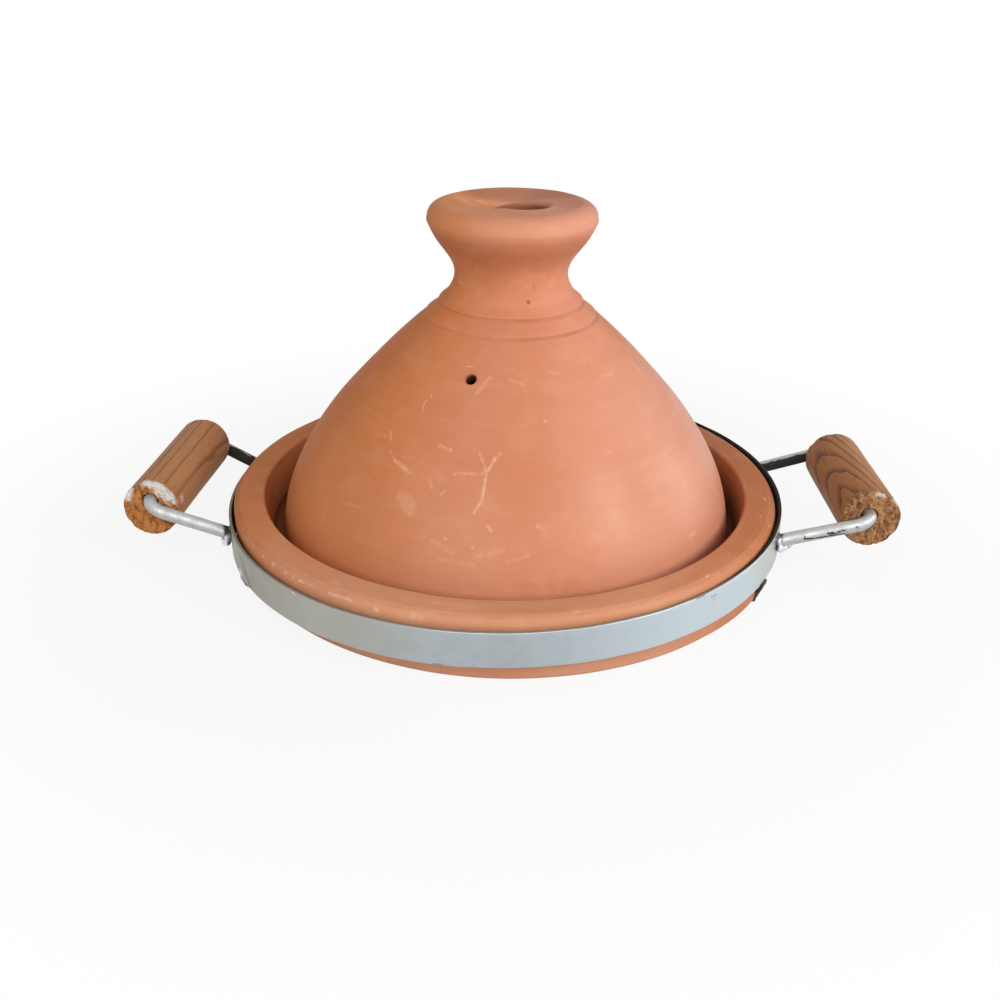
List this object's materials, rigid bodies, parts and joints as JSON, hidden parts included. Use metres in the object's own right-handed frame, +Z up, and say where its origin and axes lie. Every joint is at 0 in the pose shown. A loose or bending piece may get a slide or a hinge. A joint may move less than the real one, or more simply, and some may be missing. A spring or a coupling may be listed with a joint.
{
  "type": "tagine",
  "caption": "Unglazed clay tagine: shallow dish, conical lid with hollow knob and steam vent, and a flat steel carrying hoop with bent-rod handles and loose wooden grips.",
  "frame": {"origin": "centre of the dish's flat base, on the floor", "axes": "+Z up through the knob, X from grip to grip, -Y towards the side with the steam vent"},
  "size_m": [0.4258, 0.3144, 0.1954],
  "materials": {
    "fired_clay": "unglazed fired clay, matte",
    "galvanised_band": "satin galvanised flat bar",
    "zinc_rod": "bright zinc-coated round bar",
    "dark_steel": "dull dark steel strip",
    "weld_metal": "weld metal with burnt edges",
    "turned_wood": "turned softwood, stained brown, bare end grain"
  },
  "bodies": {
    "carrying_frame": {"hoop_band": "galvanised_band", "tab_front_right": "dark_steel", "tab_back_right": "dark_steel", "tab_back_left": "dark_steel", "tab_front_left": "dark_steel", "handle_rod_right": "zinc_rod", "handle_rod_left": "zinc_rod", "weld_bead_front_right": "weld_metal", "weld_bead_back_right": "weld_metal", "weld_bead_front_left": "weld_metal", "weld_bead_back_left": "weld_metal"},
    "dish": {"dish": "fired_clay"},
    "lid": {"lid": "fired_clay"},
    "right_grip": {"grip_right": "turned_wood"},
    "left_grip": {"grip_left": "turned_wood"}
  },
  "joints": [
    {"name": "dish_lift", "type": "slide", "parent": "carrying_frame", "child": "dish", "axis": [0, 0, 1], "range_m": [0, 0.06]},
    {"name": "lid_lift", "type": "slide", "parent": "dish", "child": "lid", "axis": [0, 0, 1], "range_m": [0, 0.06]},
    {"name": "right_grip_spin", "type": "hinge", "parent": "carrying_frame", "child": "right_grip", "pos_m": [0.19689, -0.05002, 0.04056], "axis": [0.0365, 0.9991, -0.0195], "continuous": true},
    {"name": "left_grip_spin", "type": "hinge", "parent": "carrying_frame", "child": "left_grip", "pos_m": [-0.19391, -0.04061, 0.03873], "axis": [0.0869, 0.9956, -0.0343], "continuous": true}
  ]
}
